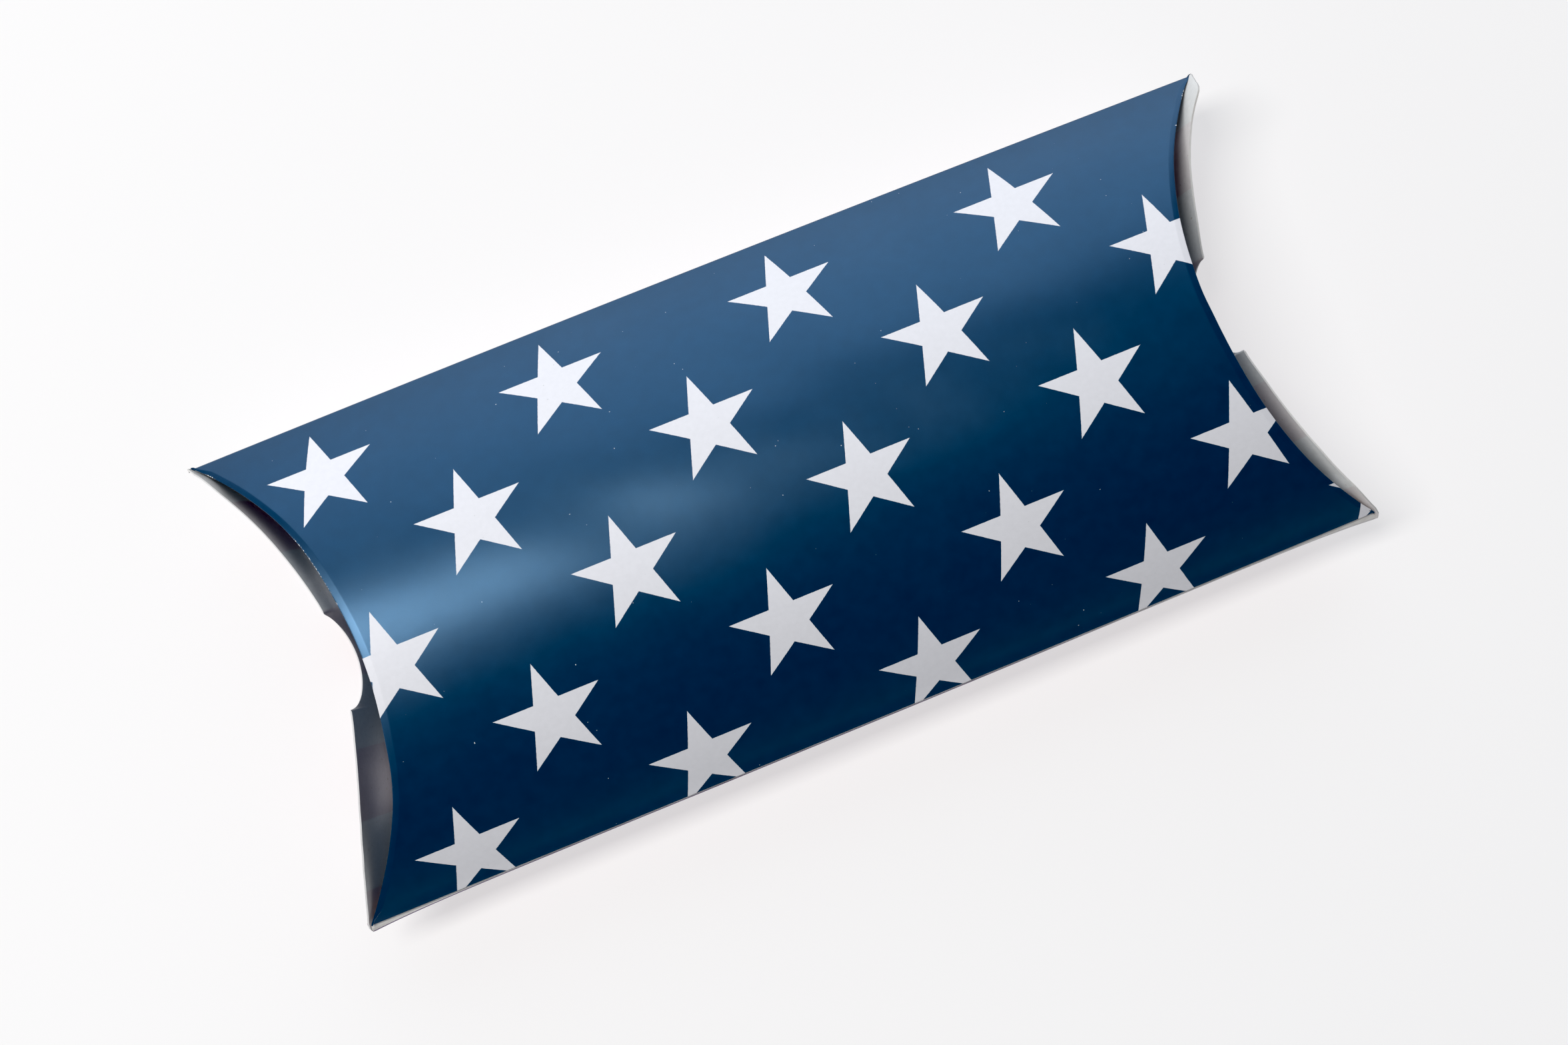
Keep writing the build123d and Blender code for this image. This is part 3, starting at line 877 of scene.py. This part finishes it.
# The height of the free edge over the side folds, at places across the box
CLOSING_EDGE = {
    LEFT: [(-50.6, -0.5), (-49.6, 0.1), (-48.0, 2.1), (-46.4, 4.2), (-44.0, 6.3), (-40.0, 8.6),
           (-34.4, 10.1), (-28.0, 10.4), (-22.4, 9.7), (-16.0, 8.4), (-10.4, 6.9), (13.6, 4.2), (20.0, 4.8),
           (26.4, 5.2), (32.0, 5.2), (36.8, 5.4), (40.8, 5.7), (44.0, 5.8), (46.4, 4.6), (48.0, 3.1),
           (49.6, 2.2), (50.6, 0.2)],
    RIGHT: [(-50.6, 0.4), (-49.6, 1.1), (-48.0, 2.6), (-46.4, 4.2), (-44.0, 5.8), (-40.0, 6.8),
           (-34.4, 8.1), (-28.0, 8.7), (-22.4, 8.8), (-16.0, 8.6), (-10.4, 7.6), (13.6, 6.3), (20.0, 7.3),
           (26.4, 7.2), (32.0, 6.9), (36.8, 7.1), (40.8, 7.5), (44.0, 8.8), (45.4, 9.6), (46.6, 8.6), (48.0, 5.4),
           (49.6, 2.6), (50.6, 0.2)],
}
EDGE_SMOOTHING = (-1.2, -0.6, 0.6, 1.2)
EDGE_SHARPNESS, EDGE_SOFTNESS = 0.4, 0.6
FLAP_STEPS = 30
CURL_POWER = 5
SHORTEST_LINE = 0.12


def flap_rows(side):
    """Where the flap's straight lines stand across the box, closest together at the notch's two corners."""
    turn = np.linspace(0, math.pi, NOTCH_STEPS)
    notch = NOTCH_PLACE[side] - NOTCH_RADIUS * np.cos(turn)
    share = np.linspace(0, 1, SIDE_STEPS)
    near = notch[0] - NOTCH_CORNER - (FLAP_END + notch[0]) * share
    far = notch[-1] + NOTCH_CORNER + (FLAP_END - notch[-1]) * share
    return np.concatenate([near[::-1], notch, far])


def closing_edge(side, y):
    """The height of the flap's free edge over the side folds, notch and all."""
    at, high = np.array(CLOSING_EDGE[side]).T
    smoothed = sum(np.interp(y + d, at, high) for d in EDGE_SMOOTHING) / len(EDGE_SMOOTHING)
    edge = EDGE_SHARPNESS * np.interp(y, at, high) + EDGE_SOFTNESS * smoothed
    inside = np.clip(NOTCH_RADIUS**2 - (y - NOTCH_PLACE[side]) ** 2, 0, None)
    floor = NOTCH_FLOOR + NOTCH_RADIUS - np.sqrt(inside)
    return np.where(np.abs(y - NOTCH_PLACE[side]) <= NOTCH_RADIUS + 1e-6, np.minimum(floor, edge), edge)


def flap_start(side, face, rows):
    """The end of the crease's turn at these places across the box: points, directions and places on the blank."""
    grids = crease_grid(side, face)
    y = grids[0][:, -1, 1]
    foot, direction, flat_foot = (
        np.stack([np.interp(rows, y, column) for column in grid[:, -1].T], 1) for grid in grids
    )
    return foot, direction / np.linalg.norm(direction, axis=1, keepdims=True), flat_foot


def flap_on_blank(side, flat_foot, rise):
    """The flap's places on the flat blank, straight out from its foot."""
    return np.stack([flat_foot[:, :1] + side * rise, np.broadcast_to(flat_foot[:, 1:], rise.shape)], -1)


def curled_flap(side, foot, top_height):
    """The flap's lines from its foot up to its free edge, where they curl outwards: points, runs and lengths."""
    share = np.linspace(0, 1, FLAP_STEPS)
    lean, curl = (closing_angle(pair[side], foot[:, 1])[:, None] for pair in (CLOSING_LEAN, CLOSING_CURL))
    lean = lean + curl * share**CURL_POWER
    middle = (lean[:, 1:] + lean[:, :-1]) / 2
    start = np.zeros((len(foot), 1))
    out = np.concatenate([start, np.cumsum(np.sin(middle), axis=1)], axis=1) * share[1]
    up = np.concatenate([start, np.cumsum(np.cos(middle), axis=1)], axis=1) * share[1]
    length = np.maximum((top_height - foot[:, 2]) / up[:, -1], SHORTEST_LINE)[:, None]
    level = np.zeros_like(lean)
    points = foot[:, None, :] + np.stack([side * out * length, level, up * length], -1)
    run = np.stack([side * np.sin(lean), level, np.cos(lean)], -1)
    return points, run, length * share


# How far out and down an opening flap would face where it bends at its crease, for a direction that nothing uses
BLEND_OUT, BLEND_DOWN = 0.3, 0.85


def flap_halves(rows, middle):
    """The near and far halves of a flap's lines, which share the one nearest its middle."""
    split = int(np.argmin(np.abs(rows - middle)))
    return ("near", -1, rows[: split + 1]), ("far", 1, rows[split:])


def hang_on_crease(flap, side, face, half):
    """Bakes half a flap's placing into its points.

    It works out a direction for a bend near the straight line from the middle of the crease to its corner, but
    nothing uses it.
    """
    inwards = (BLEND_OUT * CREASE_COT + BLEND_DOWN) * PANEL_RISE / HALF_WIDTH
    bend = np.array([side * BLEND_OUT, -half * inwards, -face * BLEND_DOWN])
    bend /= np.linalg.norm(bend)
    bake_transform(flap)


EDGE_RUB, EDGE_RUB_START, EDGE_RUB_LENGTH = 0.35, 0.93, 0.07
edge_rub = np.clip((np.linspace(0, 1, FLAP_STEPS) - EDGE_RUB_START) / EDGE_RUB_LENGTH, 0, 1) * EDGE_RUB
for side, side_name in ((LEFT, "left"), (RIGHT, "right")):
    for half_name, half, rows in flap_halves(flap_rows(side), NOTCH_PLACE[side]):
        foot, _, flat_foot = flap_start(side, BOTTOM, rows)
        points, run, rise = curled_flap(side, foot, FOLD_HEIGHT + closing_edge(side, rows))
        flat = flap_on_blank(side, flat_foot, rise)
        wear_and_highlight = np.broadcast_to(edge_rub, rise.shape)
        flap = card_piece(side_name + "_closing_flap_" + half_name, points, run, flat, push_near, wear_and_highlight)
        dress(flap, red_print, bare_behind_red)
        hang_on_crease(flap, side, BOTTOM, half)
        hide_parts(side_name + "_closing_flap")


# Tuck flaps
# The two inner flaps hang down from the front's creases behind the closing flaps. They are plain, with a curved
# free edge and square-cut feet, and the blue print runs on over them. They too are made here as two halves.
TUCK_REACH = 47.0
TUCK_DROP = 8.4
TUCK_ROWS = 111
for side, side_name in ((LEFT, "left"), (RIGHT, "right")):
    for half_name, half, rows in flap_halves(np.linspace(-TUCK_REACH, TUCK_REACH, TUCK_ROWS), 0.0):
        foot, direction, flat_foot = flap_start(side, TOP, rows)
        low_height = FOLD_HEIGHT - TUCK_DROP * (1 - (rows / TUCK_REACH) ** 2)
        length = np.maximum((foot[:, 2] - low_height) / -direction[:, 2], SHORTEST_LINE)
        rise = length[:, None] * np.linspace(0, 1, FLAP_STEPS)[None, :]
        points = foot[:, None, :] + direction[:, None, :] * rise[..., None]
        run = np.broadcast_to(direction[:, None, :], points.shape)
        flat = flap_on_blank(side, flat_foot, rise)
        flap = card_piece(side_name + "_tuck_flap_" + half_name, points, run, flat, stray_and_bow)
        dress(flap, blue_print, bare_behind_blue)
        hang_on_crease(flap, side, TOP, half)
        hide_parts(side_name + "_tuck_flap")


# Table, light and camera
# The box lies on a plain white table top and is seen from almost straight above. A large soft window behind it
# and a lamp over its left end light it; the left closing flap stands in shade, with only a rim of light.
FLOOR_HALF = 2.2
FLOOR_GAP = 0.00003
floor_corners = [(x * FLOOR_HALF, y * FLOOR_HALF, -FLOOR_GAP) for x, y in ((-1, -1), (1, -1), (1, 1), (-1, 1))]
floor_mesh = bpy.data.meshes.new("white_table")
floor_mesh.from_pydata(floor_corners, [], [(0, 1, 2, 3)])
floor = bpy.data.objects.new("white_table", floor_mesh)
bpy.context.scene.collection.objects.link(floor)
table_finish = bpy.data.materials.new("white_table_top")
table_finish.use_nodes = True
table_look = {
    "Base Color": (0.31, 0.31, 0.315, 1),
    "Roughness": 0.8,
    "Specular IOR Level": 0.1,
    "Emission Color": (0.99, 0.99, 1.0, 1),
    "Emission Strength": 0.62,
}
for socket_name, value in table_look.items():
    table_finish.node_tree.nodes["Principled BSDF"].inputs[socket_name].default_value = value
floor_mesh.materials.append(table_finish)


def soft_light(name, place, aim, shape, size, power, colour):
    """A flat soft light at a place, turned to face the aim."""
    light = bpy.data.lights.new(name, "AREA")
    light.shape = shape
    light.size, light.size_y = size
    light.energy = power
    light.color = colour
    lamp = bpy.data.objects.new(name, light)
    bpy.context.scene.collection.objects.link(lamp)
    lamp.location = place
    x, y, z = np.array(place) - np.array(aim)
    lamp.rotation_euler = (math.atan2(math.hypot(x, y), z), 0, math.atan2(x, -y))
    return lamp


far_window = soft_light(
    "far_window", (0.45, 1.5, 0.95), (0.45, 0, 0.95), "ELLIPSE", (1.9, 2.75), 22.1, (0.93, 0.99, 1.07)
)
high_left_lamp = soft_light(
    "high_left_lamp", (-0.70, 0.29, 1.40), (-0.70, 0.29, 0), "RECTANGLE", (0.98, 0.31), 23.2, (1.03, 1.0, 0.95)
)
rim_light = soft_light(
    "left_rim_light", (-1.0, 0.5, 1.0), (-0.11, 0, 0.02), "RECTANGLE", (0.5, 0.5), 20.0, (1.0, 1.0, 1.0)
)


def link_left_flap(light, state):
    """Sets whether a light leaves out the left closing flap, or falls on nothing else."""
    receivers = bpy.data.collections.new(light.name + "_receivers")
    for half_name in ("near", "far"):
        receivers.objects.link(bpy.data.objects["left_closing_flap_" + half_name])
    for receiver in receivers.collection_objects:
        receiver.light_linking.link_state = state
    light.light_linking.receiver_collection = receivers


link_left_flap(far_window, "EXCLUDE")
link_left_flap(high_left_lamp, "EXCLUDE")
link_left_flap(rim_light, "INCLUDE")
world = bpy.data.worlds.new("pale_room")
bpy.context.scene.world = world
world.use_nodes = True
background = world.node_tree.nodes["Background"]
background.inputs["Color"].default_value = (0.93, 0.95, 1.0, 1)
background.inputs["Strength"].default_value = 0.12
view = bpy.context.scene.view_settings
view.view_transform = "Standard"
view.use_curve_mapping = True
view.curve_mapping.black_level = (0.014, 0.014, 0.014)
view.curve_mapping.update()

camera_data = bpy.data.cameras.new("overhead_camera")
camera_data.lens = 55.92
camera_data.sensor_width = 36.0
camera = bpy.data.objects.new("overhead_camera", camera_data)
bpy.context.scene.collection.objects.link(camera)
camera.location = (-0.04055, -0.04224, 0.53155)
camera.rotation_euler = (0.0931966, -0.0399694, -0.3889322)
bpy.context.scene.camera = camera

bpy.context.view_layer.update()
